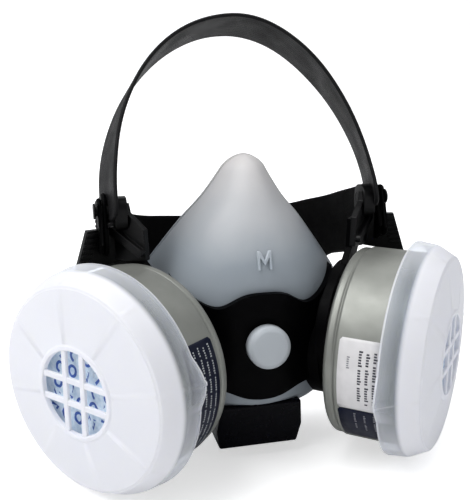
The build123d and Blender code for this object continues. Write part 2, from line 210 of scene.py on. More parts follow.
def lathe(name, axle, outline, material, segments=180, shift=None):
    """Turn a closed outline of (radius, station) about an axle."""
    verts = []
    for step in range(segments):
        turn = 2 * pi * step / segments
        for radius, station in outline:
            if shift:
                radius, station = shift(radius, station, turn)
            verts.append(axle.at(radius, turn, station))
    faces = grid_faces(segments, len(outline), close_rows=True, close_columns=True)
    return new_piece(name, verts, faces, material)


def join(name, pieces):
    """Merge pieces into one object under one name."""
    bpy.ops.object.select_all(action="DESELECT")
    for piece in pieces:
        piece.select_set(True)
    bpy.context.view_layer.objects.active = pieces[0]
    bpy.ops.object.join()
    merged = bpy.context.view_layer.objects.active
    merged.name = name
    return merged


def apply_modifiers(piece):
    """Turn a piece's modifiers into plain mesh."""
    bpy.ops.object.select_all(action="DESELECT")
    piece.select_set(True)
    bpy.context.view_layer.objects.active = piece
    for modifier in list(piece.modifiers):
        bpy.ops.object.modifier_apply(modifier=modifier.name)


def bevel(piece, width, segments=3, angle=35):
    """Round a piece's sharp edges for real, then shade it smooth by face area."""
    rounding = piece.modifiers.new("bevel", "BEVEL")
    rounding.width = width
    rounding.segments = segments
    rounding.limit_method = "ANGLE"
    rounding.angle_limit = radians(angle)
    rounding.harden_normals = True
    apply_modifiers(piece)
    return piece


def smooth_step(low, high, value):
    t = min(1.0, max(0.0, (value - low) / (high - low)))
    return t * t * (3 - 2 * t)


def through(keys, value):
    """Smooth curve through (position, amount) keys, read at a position."""
    spots = [key[0] for key in keys]
    amounts = [key[1] for key in keys]
    if value <= spots[0]:
        return amounts[0]
    if value >= spots[-1]:
        return amounts[-1]
    index = max(i for i in range(len(keys) - 1) if spots[i] <= value)
    span = spots[index + 1] - spots[index]
    t = (value - spots[index]) / span

    def slope(i):
        if i == 0 or i == len(keys) - 1:
            near = min(max(i, 1), len(keys) - 2)
            j = near if i == 0 else near + 1
            return (amounts[j] - amounts[j - 1]) / (spots[j] - spots[j - 1])
        return (amounts[i + 1] - amounts[i - 1]) / (spots[i + 1] - spots[i - 1])

    start, end = amounts[index], amounts[index + 1]
    leave, arrive = slope(index) * span, slope(index + 1) * span
    blend = t * t * (3 - 2 * t)
    bend = t * (1 - t) * ((1 - t) * leave - t * arrive)
    return start + (end - start) * blend + bend


def set_attribute(piece, name, values):
    """Store one number per point, for a material to read."""
    attribute = piece.data.attributes.new(name, "FLOAT", "POINT")
    attribute.data.foreach_set("value", np.array(values, np.float32))


def slab(name, outline, place, near, far, material, edge=0.4 * MM):
    """A plate from a closed outline of (x, y), put in place between two depths, edges rounded."""
    count = len(outline)
    verts = [place(x, y, near) for x, y in outline] + [place(x, y, far) for x, y in outline]
    faces = [tuple(range(count)), tuple(range(count, 2 * count))]
    for index in range(count):
        after = (index + 1) % count
        faces.append((index, after, count + after, count + index))
    piece = new_piece(name, verts, faces, material)
    return bevel(piece, edge) if edge else piece


# ---------------------------------------------------------------- materials
def plug(tree, socket, value):
    """Set an input to a value, or link it to an output; a node stands for its first output."""
    if isinstance(value, bpy.types.Node):
        value = value.outputs[0]
    if isinstance(value, bpy.types.NodeSocket):
        tree.links.new(value, socket)
    else:
        socket.default_value = value


def fill(tree, made, *feeds, **settings):
    """Give a node its settings and inputs: feeds in order, the others by name with _ for a space."""
    for key, value in settings.items():
        if key in made.bl_rna.properties:
            setattr(made, key, value)
        else:
            plug(tree, made.inputs[key.replace("_", " ")], value)
    for socket, value in zip(made.inputs, feeds):
        plug(tree, socket, value)
    return made


def node(tree, kind, *feeds, **settings):
    return fill(tree, tree.nodes.new("ShaderNode" + kind), *feeds, **settings)


def calculate(tree, operation, *feeds):
    return node(tree, "Math", *feeds, operation=operation)


def attribute(tree, name):
    return node(tree, "Attribute", attribute_name=name).outputs["Fac"]


def new_material(name, colour, roughness, metallic=0.0, **inputs):
    """A principled material; returns its tree and shader too, for the details."""
    material = bpy.data.materials.new(name)
    material.use_nodes = True
    tree = material.node_tree
    shader = tree.nodes["Principled BSDF"]
    fill(tree, shader, Base_Color=(*colour, 1), Roughness=roughness, Metallic=metallic, **inputs)
    return material, tree, shader


def noise(tree, scale, detail=4.0):
    """Noise in the object's own metres."""
    where = node(tree, "TexCoord").outputs["Object"]
    return node(tree, "TexNoise", Vector=where, Scale=scale, Detail=detail)


def ramp(tree, source, low, high, start, end):
    """Map a source number between start and end on to two colours."""
    share = node(tree, "MapRange", source, start, end)
    mixed = node(tree, "Mix", data_type="RGBA", Factor=share, A=(*low, 1), B=(*high, 1))
    return mixed.outputs["Result"]


def rough_by(tree, shader, source, low, high):
    """Let a source number between 0.3 and 0.7 move the roughness between two values."""
    fill(tree, shader, Roughness=node(tree, "MapRange", source, 0.3, 0.7, low, high))


def bump(tree, shader, source, depth, soft_edge=0.0):
    """Fine relief; soft_edge also rounds how light runs over hard moulded corners."""
    bumped = node(tree, "Bump", Strength=1.0, Distance=depth, Height=source)
    if soft_edge:
        fill(tree, bumped, Normal=node(tree, "Bevel", samples=6, Radius=soft_edge))
    fill(tree, shader, Normal=bumped)


def scaled(colours, share):
    """Colours made paler or darker by one share."""
    return [tuple(channel * share for channel in colour) for colour in colours]


def face_rubber(name, lift):
    """Blue-grey satin elastomer with painted light from above: its colour runs paler and warmer up towards the
    nose; lift makes it paler all over, which paints a highlight on the size letter.
    """
    material, tree, shader = new_material(
        name, (0.4, 0.44, 0.5), 0.5, Subsurface_Weight=0.15, Subsurface_Radius=(2 * MM, 2 * MM, 2.4 * MM),
        Subsurface_Scale=1.0, Specular_IOR_Level=0.35,
    )
    height = node(tree, "SeparateXYZ", node(tree, "TexCoord").outputs["Object"]).outputs["Z"]
    # Painted light: the colour follows height, shaded low down and lit up at the nose, with a little noise.
    painted_light_height = calculate(tree, "MULTIPLY_ADD", noise(tree, 40), 0.02, height)
    low, high = scaled(FACE_PAINTED_LIGHT_COLOURS, lift)
    fill(tree, shader, Base_Color=ramp(tree, painted_light_height, low, high, 0.052, 0.098))
    rough_by(tree, shader, noise(tree, 90), 0.42, 0.56)
    bump(tree, shader, noise(tree, 2600, 2), 0.02 * MM)
    return material


def black_plastic(name, shine):
    material, tree, shader = new_material(name, (0.0005, 0.0005, 0.0008), 0.42, Specular_IOR_Level=shine)
    rough_by(tree, shader, noise(tree, 160), 0.34, 0.5)
    bump(tree, shader, noise(tree, 2200, 3), 0.02 * MM, 0.5 * MM)
    return material


def gloss_black():
    ink = (0.0004, 0.0005, 0.002)
    material, tree, shader = new_material("gloss_black", ink, 0.22, Specular_IOR_Level=0.07)
    rough_by(tree, shader, noise(tree, 120), 0.2, 0.34)
    bump(tree, shader, noise(tree, 60, 2), 0.15 * MM, 0.6 * MM)
    return material


def tin_plate():
    """Satin tin: drawn lines round the can and slight mottling."""
    material, tree, shader = new_material("tin_plate", (0.30, 0.305, 0.28), 0.46, 0.6)
    along = calculate(tree, "MULTIPLY", attribute(tree, "station"), 5000.0)
    lines = node(tree, "TexNoise", noise_dimensions="1D", Detail=6.0, W=along)
    fill(tree, shader, Base_Color=ramp(tree, noise(tree, 55), *TIN_COLOURS, 0.35, 0.65))
    rough_by(tree, shader, noise(tree, 120), 0.42, 0.54)
    bump(tree, shader, lines, 0.004 * MM)
    return material


def cover_plastic():
    """Milky translucent plastic with a faint painted glow from white emission; the attribute milk says how little
    shows through.
    """
    # The emission paints a faint glow into the cover.
    material, tree, shader = new_material(
        "cover_plastic", (0.86, 0.86, 0.89), 0.34, Specular_IOR_Level=0.5, Subsurface_Weight=0.25,
        Subsurface_Radius=(4 * MM, 4 * MM, 5 * MM), Emission_Color=(0.95, 0.96, 1.0, 1),
        Emission_Strength=0.05,
    )
    clear = node(tree, "BsdfTransparent", Color=(0.84, 0.87, 0.9, 1))
    glow = node(tree, "BsdfTranslucent", Color=(0.88, 0.89, 0.94, 1))
    body = node(tree, "MixShader", 0.3, shader, glow)
    edge_on = node(tree, "LayerWeight", Blend=0.3).outputs["Facing"]
    cloud = calculate(tree, "MAXIMUM", attribute(tree, "milk"), edge_on)
    fill(tree, tree.nodes["Material Output"], node(tree, "MixShader", cloud, clear, body))
    rough_by(tree, shader, noise(tree, 70), 0.28, 0.42)
    bump(tree, shader, noise(tree, 45, 2), 0.25 * MM)
    return material


def pad_fibre(name, dark, pale):
    material, tree, shader = new_material(name, pale, 0.9, Sheen_Weight=0.3)
    fibres = noise(tree, 700, 6)
    fill(tree, shader, Base_Color=ramp(tree, fibres, dark, pale, 0.35, 0.65))
    bump(tree, shader, fibres, 0.2 * MM)
    return material


def print_ink(name, colour):
    material, tree, shader = new_material(name, colour, 0.6)
    pale = tuple(min(1.0, c * 1.35 + 0.02) for c in colour)
    fill(tree, shader, Base_Color=ramp(tree, noise(tree, 900), colour, pale, 0.4, 0.75))
    return material


def label_paper(name, colour, shine):
    material, tree, shader = new_material(name, colour, 0.42, Specular_IOR_Level=shine)
    dusty = tuple(c * 0.9 for c in colour)
    fill(tree, shader, Base_Color=ramp(tree, noise(tree, 130), dusty, colour, 0.35, 0.6))
    rough_by(tree, shader, noise(tree, 300), 0.36, 0.5)
    return material


def webbing(name, shine, sheen, depth):
    """Black woven elastic: ribs along its length crossed by fine picks; depth scales how dark it is, and the nape
    strap's lower depth is painted shade.
    """
    material, tree, shader = new_material(
        name, (0.004, 0.004, 0.005), 0.5, Specular_IOR_Level=shine, Sheen_Weight=sheen, Sheen_Roughness=0.4
    )
    waves = [
        calculate(tree, "SINE", calculate(tree, "MULTIPLY", attribute(tree, run), 2 * pi / pitch))
        for run, pitch in (("along", 0.8 * MM), ("across", 0.65 * MM))
    ]
    woven = calculate(tree, "MULTIPLY", *waves)
    dark, pale = scaled(WEBBING_COLOURS, depth)
    fill(tree, shader, Base_Color=ramp(tree, woven, dark, pale, -1.0, 1.0))
    bump(tree, shader, woven, 0.05 * MM)
    rough_by(tree, shader, noise(tree, 90), 0.42, 0.62)
    return material


def soft_material(name, colour, roughness, **inputs):
    """A material that light enters a little."""
    soft = {"Subsurface_Weight": 0.1, "Subsurface_Radius": (1 * MM, 1 * MM, 1 * MM)}
    return new_material(name, colour, roughness, **soft, **inputs)


def button_plastic():
    material, tree, shader = soft_material("button_plastic", (0.40, 0.43, 0.46), 0.45, Specular_IOR_Level=0.3)
    rough_by(tree, shader, noise(tree, 200), 0.36, 0.5)
    bump(tree, shader, noise(tree, 3000, 2), 0.01 * MM)
    return material


def pale_rubber(name, colour):
    material, tree, shader = soft_material(name, colour, 0.5)
    rough_by(tree, shader, noise(tree, 260), 0.42, 0.58)
    bump(tree, shader, noise(tree, 2400, 2), 0.02 * MM)
    return material


# Shaded low colour and lit high colour of the facepiece's painted light from above.
FACE_PAINTED_LIGHT_COLOURS = ((0.285, 0.32, 0.355), (0.60, 0.58, 0.575))
TIN_COLOURS = ((0.205, 0.212, 0.195), (0.245, 0.252, 0.233))
WEBBING_COLOURS = ((0.0018, 0.0018, 0.0022), (0.008, 0.008, 0.010))
RUBBER = face_rubber("face_rubber", 1.0)
# The size letter's rubber is a paler copy of the face rubber: a painted highlight on the raised letter.
HIGHLIGHTED_MARK_RUBBER = face_rubber("mark_rubber_painted_highlight", 1.25)
BLACK = black_plastic("black_plastic", 0.03)
CLIP = black_plastic("clip_plastic", 0.2)
GLOSS = gloss_black()
BUTTON = button_plastic()
TIN = tin_plate()
MILKY = cover_plastic()
PAD = pad_fibre("pad_fibre", (0.52, 0.66, 0.80), (0.70, 0.80, 0.90))
PAD_INK = print_ink("pad_ink", (0.03, 0.09, 0.36))
DARK_LABEL = label_paper("dark_label", (0.007, 0.009, 0.022), 0.12)
WHITE_LABEL = label_paper("white_label", (0.66, 0.65, 0.66), 0.4)
DARK_INK = print_ink("dark_ink", (0.02, 0.02, 0.03))
PALE_INK = print_ink("pale_ink", (0.34, 0.36, 0.37))
GREY_INK = print_ink("grey_ink", (0.16, 0.16, 0.18))
WEBBING = webbing("crown_webbing", 0.16, 0.02, 0.5)
# The nape strap is a darker copy of the same webbing: painted shade.
SHADED_NAPE_WEBBING = webbing("nape_webbing_painted_shade", 0.04, 0.0, 0.15)
FLAP = pale_rubber("flap_rubber", (0.70, 0.66, 0.52))
GASKET = pale_rubber("gasket_rubber", (0.02, 0.02, 0.022))
FELT = pad_fibre("felt_fibre", (0.66, 0.64, 0.58), (0.78, 0.76, 0.70))
CHARCOAL = print_ink("charcoal", (0.012, 0.012, 0.013))
SEAT = pale_rubber("seat_plastic", (0.62, 0.62, 0.60))
THREAD = pale_rubber("thread", (0.03, 0.03, 0.035))


# ---------------------------------------------------------------- facepiece
# height, half width, front, back of each level section, in millimetres
FACE_LEVELS = (
    (-27, 43, -12, 31),
    (-14, 46, -14, 36),
    (5, 47, -15, 38),
    (20, 48.6, -15, 37.5),
    (27, 47, -15, 36.5),
    (34, 42.4, -15, 35),
    (44, 35.2, -13.4, 32.5),
    (55, 27, -8.2, 29.5),
    (66, 17.7, -1, 26.5),
    (84, 6.2, 12, 22),
)
HALF_KEYS, FRONT_KEYS, BACK_KEYS = (
    [(level[0] * MM, level[pick] * MM) for level in FACE_LEVELS] for pick in (1, 2, 3)
)
CHIN_ROUND = 8 * MM
NOSE_ROUND = 6 * MM
FACE_WALL = 3 * MM
LIP_REACH = 10 * MM


def face_section(z):
    """Half width, front and back of the facepiece at a height."""
    return through(HALF_KEYS, z), through(FRONT_KEYS, z), through(BACK_KEYS, z)


def face_front(x, z):
    """The y of the facepiece's front surface at (x, z)."""
    half, front, back = face_section(z)
    share = min(abs(x) / half, 0.999)
    return back - (back - front) * sqrt(1 - share * share)


def face_rows():
    """(height, shrink, share) for each row of the shell, from the chin's middle to the nose's tip."""
    rows = [(FACE_BOTTOM, CHIN_ROUND, share) for share in np.linspace(0.02, 1, 16)[:-1]]
    for step in range(9):
        turn = radians(90 * step / 8)
        rows.append((FACE_BOTTOM + CHIN_ROUND * (1 - cos(turn)), CHIN_ROUND * (1 - sin(turn)), 1.0))
    for z in np.linspace(FACE_BOTTOM + CHIN_ROUND, FACE_TOP - NOSE_ROUND, 72)[1:]:
        rows.append((float(z), 0.0, 1.0))
    for step in range(1, 11):
        turn = radians(90 * step / 10)
        rows.append((FACE_TOP - NOSE_ROUND * (1 - sin(turn)), NOSE_ROUND * (1 - cos(turn)), 1.0))
    rows += [(FACE_TOP, NOSE_ROUND, share) for share in (0.7, 0.4, 0.02)]
    return rows


def face_shell():
    """The cup: level half-elliptic sections, rounded at chin and nose, open at the back, with three ports."""
    columns = 97
    rows = face_rows()
    verts = []
    for z, shrink, share in rows:
        half, front, back = face_section(z)
        wide = max(half - shrink, 0.2 * MM) * share
        deep = max(back - front - shrink, 0.2 * MM) * share
        for column in range(columns):
            turn = pi * column / (columns - 1)
            verts.append(Vector((wide * cos(turn), back - deep * sin(turn), z)))
    faces = []
    for face in grid_faces(len(rows), columns):
        middle = sum((verts[i] for i in face), Vector()) / 4
        can = CANS["right" if middle.x > 0 else "left"]
        in_port = middle.x != 0 and can.radius_of(middle) < HUB_R * 0.8
        if not in_port and not (CHIN.radius_of(middle) < CHIN_BORE and middle.z < FACE_BOTTOM + CHIN_ROUND):
            faces.append(face)
    shell = new_piece("facepiece_shell", verts, faces, RUBBER)
    wall = shell.modifiers.new("wall", "SOLIDIFY")
    wall.thickness = FACE_WALL
    wall.offset = -1
    wall.use_even_offset = False
    apply_modifiers(shell)
    return shell


def face_lip():
    """The sealing lip that turns in from the cup's edge, thin at its inner side."""
    edge = []
    for side in (1, -1):
        for z, shrink, share in face_rows()[::side]:
            half, _, back = face_section(z)
            edge.append((side, z, max(half - shrink, 0.2 * MM) * share / half, back))
    low = FACE_BOTTOM + LIP_REACH
    high = FACE_TOP - 2.2 * LIP_REACH
    verts = []
    profile = [(w / 8, 1.6 * MM * sin(pi * min(w / 8 * 1.3, 1)) ** 0.7) for w in range(9)]
    section = profile + [(w, rise - (2.6 - 1.6 * w) * MM) for w, rise in profile[::-1]]
    for side, z, share, back in edge:
        inner_z = low + (z - FACE_BOTTOM) / FACE_TALL * (high - low)
        outer = Vector((side * share * face_section(z)[0], back, z))
        inner_half, _, inner_back = face_section(inner_z)
        inner = Vector((side * share * (inner_half - LIP_REACH), inner_back, inner_z))
        for w, rise in section:
            spot = outer.lerp(inner, w)
            verts.append(Vector((spot.x, spot.y + rise, spot.z)))
    faces = grid_faces(len(edge), len(section), close_rows=True, close_columns=True)
    return new_piece("facepiece_lip", verts, faces, RUBBER)


def face_boss(can):
    """Raised ring moulded round a side port; its back runs into the cup wherever the wall is."""
    inner, outer = HUB_R * 0.72, HUB_R + 2.2 * MM

    def sink(radius, station, turn):
        if station < -15 * MM:
            while station < -10 * MM and face_inside(can.at(radius, turn, station), -1.5 * MM):
                station += 0.25 * MM
        return radius, station

    outline = ring_outline(inner, outer, -17 * MM, HUB_FRONT - 7.4 * MM, 0.4 * MM, 0.8 * MM)
    return lathe(f"{can.side}_boss", can, outline, RUBBER, shift=sink)


def face_inside(spot, grow=0.0):
    """True if a point is inside the facepiece's outer form, grown by an offset."""
    half, front, back = face_section(spot.z)
    return (spot.x / (half + grow)) ** 2 + ((back - spot.y) / (back - front + grow)) ** 2 < 1


def size_mark():
    """Raised medium-size letter above the yoke, in strokes of one width that follow the surface."""
    centre = Vector((0.4, 44.2)) * MM
    tall, wide, stroke = 7.6 * MM, 6.2 * MM, 1.1 * MM
    right, top, foot = wide / 2, tall / 2, -tall / 2
    dip, shoulder = foot + 0.25 * tall, top - 2.4 * stroke
    right_half = [
        (right - stroke, shoulder), (right - stroke, foot), (right, foot), (right, top),
        (right - 1.2 * stroke, top),
    ]
    left_half = [(-x, z) for x, z in right_half[::-1]]
    outline = [(0, dip)] + right_half + [(0, dip + 2 * stroke)] + left_half

    def place(x, z, depth):
        across, height = centre.x + x, centre.y + z
        return Vector((across, face_front(across, height) - depth, height))

    return slab("size_mark", outline, place, -0.6 * MM, 1.2 * MM, HIGHLIGHTED_MARK_RUBBER, 0.35 * MM)


def chin_boss():
    inner, outer = CHIN_BORE - 1.2 * MM, CHIN_BORE + 1.8 * MM
    outline = ring_outline(inner, outer, -5 * MM, 1 * MM, 0.5 * MM)
    return lathe("chin_boss", CHIN, outline, RUBBER, 96)


def make_facepiece():
    parts = [face_shell(), face_lip(), size_mark(), chin_boss()] + [face_boss(can) for can in CANS.values()]
    return finished(join("facepiece_rubber", parts), "mask_body", "facepiece_rubber", "facepiece")


def finished(piece, body, slot, *nodes):
    """Hand a piece over to the frame: what it rides on and the CAD nodes it stands for; slot, the name of its
    finish, is not used.
    """
    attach(piece, body)
    if nodes:
        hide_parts(*nodes)
    return piece


# ---------------------------------------------------------------- button
def make_button():
    """Soft-edged round plug with a faintly crowned front, on a stem."""
    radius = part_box("yoke_button")[1].x
    front = ((2.6, 0), (2.0, -0.08), (1.5, -0.3), (0.4, -1.3), (0.1, -1.7), (0, -2.3), (0, -6))
    outline = [(0, 0.1 * MM)] + [(radius - inset * MM, station * MM) for inset, station in front]
    outline += [(4 * MM, -6 * MM), (4 * MM, -9.2 * MM), (0, -9.2 * MM)]
    piece = lathe("button_plug", BUTTON_AXLE, outline, BUTTON, 120)
    finished(piece, "button", "button_plastic", "yoke_button")


# ---------------------------------------------------------------- canisters
def make_can(can):
    """Drawn tin canister: stepped rear rim with a fine groove, straight side and rolled front edge."""
    wall = 0.8 * MM
    rim = CAN_R - 0.7 * MM
    neck = HUB_R - 4 * MM
    corners = [
        (neck, 0, 0), (rim - 1.2 * MM, 0, 0.5), (rim, 1.1 * MM, 0.7), (rim, 3.6 * MM, 0.4),
        (rim - 0.5 * MM, 4.3 * MM, 0.4), (CAN_R, 5.4 * MM, 0.5), (CAN_R, CAN_FRONT - 0.2 * MM, 0.4),
        (CAN_R - 1.6 * MM, CAN_FRONT, 0.4), (CAN_R - wall, CAN_FRONT - 1.6 * MM, 0.3),
        (CAN_R - wall, 5.8 * MM, 0.4), (rim - wall, 4.9 * MM, 0.3), (rim - wall, wall + 0.4 * MM, 0.4),
        (neck, wall, 0),
    ]
    outline = rounded([(r, s, soft * MM) for r, s, soft in corners], 4)
    piece = lathe(f"{can.side}_can", can, outline, TIN, 240)
    set_attribute(piece, "station", [can.station_of(v.co) for v in piece.data.vertices])
    finished(piece, f"{can.side}_cartridge", "can_metal", f"{can.side}_canister_shell")


# ---------------------------------------------------------------- filter covers
TAB_TURN = {"right": radians(97), "left": radians(78)}
TAB_HALF = radians(13)
RIBS = 8
WINDOW_R = 17.4 * MM
BAR_PITCH = 9.6 * MM
BAR_WIDE = 2.6 * MM


def off_turn(turn, middle):
    """How far a turn is from another, wrapped to plus or minus half a circle."""
    return (turn - middle + pi) % (2 * pi) - pi


def cover_outline():
    """Section of the cover: beaded skirt edge, soft shoulder, coned face, window ring, then back inside."""
    skirt = CAN_R + 4.7 * MM
    edge = COVER_BACK
    face_r, face_s, top = CAN_R - 1.4 * MM, COVER_FRONT - 3.6 * MM, COVER_FRONT
    corners = [
        (skirt - 1.2 * MM, edge + 0.3 * MM, 0.3),
        (skirt - 0.9 * MM, edge - 0.3 * MM, 0.3),
        (skirt + 0.1 * MM, edge - 0.3 * MM, 0.5),
        (skirt + 0.3 * MM, edge + 0.6 * MM, 0.5),
        (skirt, edge + 1.7 * MM, 0.5),
        (skirt - 0.7 * MM, edge + 8.4 * MM, 4.0),
        (skirt - 2.3 * MM, edge + 11.3 * MM, 3.0),
        (face_r + 1.2 * MM, face_s - 0.35 * MM, 1.5),
        (face_r + 0.35 * MM, face_s - 0.1 * MM, 0.2),
        (face_r, face_s + 0.25 * MM, 0.2),
        (face_r - 0.8 * MM, face_s + 0.3 * MM, 0.3),
        (WINDOW_R + 2.6 * MM, top - 0.9 * MM, 0.5),
        (WINDOW_R + 2.0 * MM, top - 0.3 * MM, 0.4),
        (WINDOW_R + 0.3 * MM, top - 0.2 * MM, 0.5),
        (WINDOW_R, top - 2.3 * MM, 0.3),
        (face_r - 0.2 * MM, face_s - 1.2 * MM, 0.5),
        (face_r + 0.4 * MM, face_s - 1.9 * MM, 0.5),
        (skirt - 3.4 * MM, edge + 10.7 * MM, 2.0),
        (skirt - 2.0 * MM, edge + 8.0 * MM, 2.0),
    ]
    return rounded([(r, s, soft * MM) for r, s, soft in corners], 6)


def cover_shift(can):
    """Flare the skirt into a finger tab and raise the ribs, by place round the cover."""
    edge = COVER_BACK
    skirt = CAN_R + 3.4 * MM

    def shift(radius, station, turn):
        near = abs(off_turn(turn, TAB_TURN[can.side])) / TAB_HALF
        low = 1 - smooth_step(edge, edge + 7.5 * MM, station)
        if near < 1:
            radius += 3.4 * MM * low * cos(near * pi / 2) ** 1.3
        if near < 0.1 and radius > skirt:
            radius += 0.7 * MM * (1 - smooth_step(edge + 6 * MM, edge + 9 * MM, station))
        along = off_turn(turn * RIBS, TAB_TURN[can.side] * RIBS) / RIBS
        offset = abs(along) * radius
        if WINDOW_R + 3 * MM < radius < CAN_R - 2 * MM:
            station += 0.16 * MM * (1 - smooth_step(0.4 * MM, 1.4 * MM, offset))
        elif CAN_R <= radius < skirt + 2 * MM and station > edge + 8 * MM:
            fade = smooth_step(edge + 8 * MM, edge + 12 * MM, station)
            radius += 0.12 * MM * fade * (1 - smooth_step(0.5 * MM, 1.6 * MM, offset))
        return radius, station

    return shift


def make_cover(can):
    """Milky push-on cover with a barred window, and the grip ring inside it."""
    shell = lathe(f"{can.side}_cover_shell", can, cover_outline(), MILKY, 540, cover_shift(can))
    grip = ring_outline(CAN_R + 0.2 * MM, CAN_R + 0.9 * MM, 31 * MM, 35 * MM, 0.2 * MM, 0.1 * MM)
    parts = [shell, lathe(f"{can.side}_cover_grip", can, grip, MILKY, 120)]
    for direction in range(2):
        for offset in (-BAR_PITCH / 2, BAR_PITCH / 2):
            parts.append(cover_bar(can, direction, offset))
    piece = join(f"{can.side}_cover", parts)
    set_attribute(piece, "milk", [cover_milk(can.station_of(v.co)) for v in piece.data.vertices])
    finished(piece, f"{can.side}_cover", "cover_plastic", f"{can.side}_filter_cover")


def cover_milk(station):
    """How little shows through the cover: clearer down the skirt, milkier at its bead and over the face."""
    skirt = 0.12 + 0.82 * smooth_step(COVER_BACK + 6.8 * MM, COVER_BACK + 9.6 * MM, station)
    bead = 1 - smooth_step(COVER_BACK + 0.3 * MM, COVER_BACK + 1.1 * MM, station)
    return min(0.96, skirt + 0.5 * bead)


def cover_bar(can, direction, offset):
    """One rounded bar across the window, held at its ends in the window ring."""
    half_length = sqrt(WINDOW_R ** 2 - offset ** 2) + 0.4 * MM
    half_wide = BAR_WIDE / 2
    outline = ring_outline(-half_length, half_length, -half_wide, half_wide, 0)

    def place(x, y, depth):
        along, across = x, y + offset
        side, up = (along, across) if direction == 0 else (across, along)
        return can.flat(side, up, depth)

    back, front = COVER_FRONT - 2.0 * MM, COVER_FRONT - 0.55 * MM + 0.15 * MM * direction
    return slab("bar", outline, place, back, front, MILKY, 0.45 * MM)


# ---------------------------------------------------------------- prefilter pads
def pad_height(x, y):
    """Fibre relief of the pad's front in a smooth repeatable pattern."""
    waves = sin(x * 900 + 2 * sin(y * 700)) + sin(y * 1300 + 3 * sin(x * 500))
    return 0.12 * MM * waves


PAD_RINGS = 46
PAD_SPOKES = 120


def fibre_face(can, reach, station, inwards, soft):
    """Rings of points over a matted face from its middle out; its edge rolls over towards the inside."""
    verts = []
    for ring in range(PAD_RINGS):
        radius = reach * max(ring / (PAD_RINGS - 1), 0.002)
        droop = soft * (0.3 + 0.7 * smooth_step(0.95 * reach, reach, radius))
        for spoke in range(PAD_SPOKES):
            turn = 2 * pi * spoke / PAD_SPOKES
            rise = pad_height(radius * cos(turn), radius * sin(turn)) * soft / MM
            verts.append(can.at(radius, turn, station + inwards * droop + rise))
    return verts


def fibre_disc(name, can, reach, back, front, soft, material):
    """A disc matted on both faces."""
    verts = fibre_face(can, reach, front, -1, soft) + fibre_face(can, reach, back, 1, soft)[::-1]
    return new_piece(name, verts, grid_faces(2 * PAD_RINGS, PAD_SPOKES, close_columns=True), material)


def make_pad(can):
    """Fibre disc matted on both faces, and generic blue marks printed on its front."""
    pad = fibre_disc(f"{can.side}_pad", can, PAD_R, PAD_BACK, PAD_FRONT, 1 * MM, PAD)
    finished(pad, f"{can.side}_cover", "pad_fibre", f"{can.side}_prefilter_pad")
    marks = [pad_mark(can, row, column) for row in range(-2, 3) for column in range(-2, 3)]
    finished(join(f"{can.side}_pad_print", marks), f"{can.side}_cover", "pad_fibre")


def pad_mark(can, row, column):
    """One printed mark, by its place in the pattern: a ring, a slanted pair, a bent stroke or an arc."""
    kind = (row * 3 + column * 5 + (2 if can.side == "left" else 0)) % 4
    middle = Vector((column * 7.0 * MM + row * 1.6 * MM, row * 6.6 * MM))
    size = 2.3 * MM
    stroke = 0.62 * MM
    if kind == 0:
        centre_line = [(size * 0.8 * cos(t), size * sin(t)) for t in np.linspace(0, 2 * pi, 25)]
    elif kind == 1:
        centre_line = [(-size * 0.7, -size), (-size * 0.7, size), (size * 0.7, -size), (size * 0.7, size)]
    elif kind == 2:
        centre_line = [(-size * 0.8, size), (size * 0.8, size), (-size * 0.3, -size)]
    else:
        centre_line = [(size * 0.8 * cos(t), size * sin(t)) for t in np.linspace(0.6, 4.6, 17)]
    tilt = radians(-12)
    line = []
    for x, y in centre_line:
        spot = Vector((x, y))
        spot.rotate(Matrix.Rotation(tilt, 2))
        line.append(spot + middle)
    verts = []
    for index, spot in enumerate(line):
        ahead = line[min(index + 1, len(line) - 1)] - line[max(index - 1, 0)]
        normal = Vector((-ahead.y, ahead.x)).normalized() * stroke
        for flank in (spot + normal, spot - normal):
            height = PAD_FRONT - 0.3 * MM + pad_height(flank.y, flank.x) + 0.06 * MM
            verts.append(can.flat(flank.x, flank.y, height))
    return new_piece(f"mark_{row}_{column}", verts, grid_faces(len(line), 2), PAD_INK)


# ---------------------------------------------------------------- valve flaps, gaskets and fillings
def make_flap(axle, name, body, free_side):
    """Thin rubber valve flap: thicker about its stud, pressed rings on its free face, beaded rim."""
    reach, back, front = axle.measure(name)
    hole = axle.bore(name)
    tall = front - back
    seated, free = (back, 1) if free_side > 0 else (front, -1)

    def thickness(share):
        body_part = 0.6 + 0.4 * (1 - smooth_step(0.2, 0.32, share))
        rings = sum(0.2 * max(0, 1 - abs(share - ring) / 0.03) for ring in (0.45, 0.62, 0.79))
        bead = 0.25 * smooth_step(0.9, 0.94, share)
        edge = sqrt(max(1 - max(0, (share - 0.96) / 0.04) ** 2, 0.05))
        return tall * (body_part + rings + bead) * edge

    radii = [float(r) for r in np.linspace(hole, reach, 60)]
    outline = [(r, seated) for r in radii] + [(r, seated + free * thickness(r / reach)) for r in radii[::-1]]
    finished(lathe(f"{name}_rubber", axle, outline, FLAP, 96), body, "valve_rubber", name)


def make_gasket(can):
    """Soft ring with a rounded section and a sealing rib on each face."""
    name = f"{can.side}_port_gasket"
    reach, back, front = can.measure(name)
    bore = can.bore(name)
    middle = (reach + bore) / 2
    soft = (front - back) * 0.3
    corners = []
    for station, way in ((back, 1), (front, -1)):
        inset = station + soft * 0.5 * way
        ridge = [(middle - 2 * soft, inset), (middle, station), (middle + 2 * soft, inset)]
        face = [(bore, inset)] + ridge + [(reach, inset)]
        corners += face[::way]
    outline = rounded([(r, s, soft) for r, s in corners], 4)
    finished(lathe(f"{name}_ring", can, outline, GASKET, 120), "mask_body", "gasket_rubber", name)


def make_felt(can):
    """Thin dust felt at the back of the bed, matted on both faces."""
    name = f"{can.side}_rear_dust_felt"
    reach, back, front = can.measure(name)
    felt = fibre_disc(f"{can.side}_felt", can, reach, back, front, 0.3 * (front - back), FELT)
    finished(felt, f"{can.side}_cartridge", "felt", name)


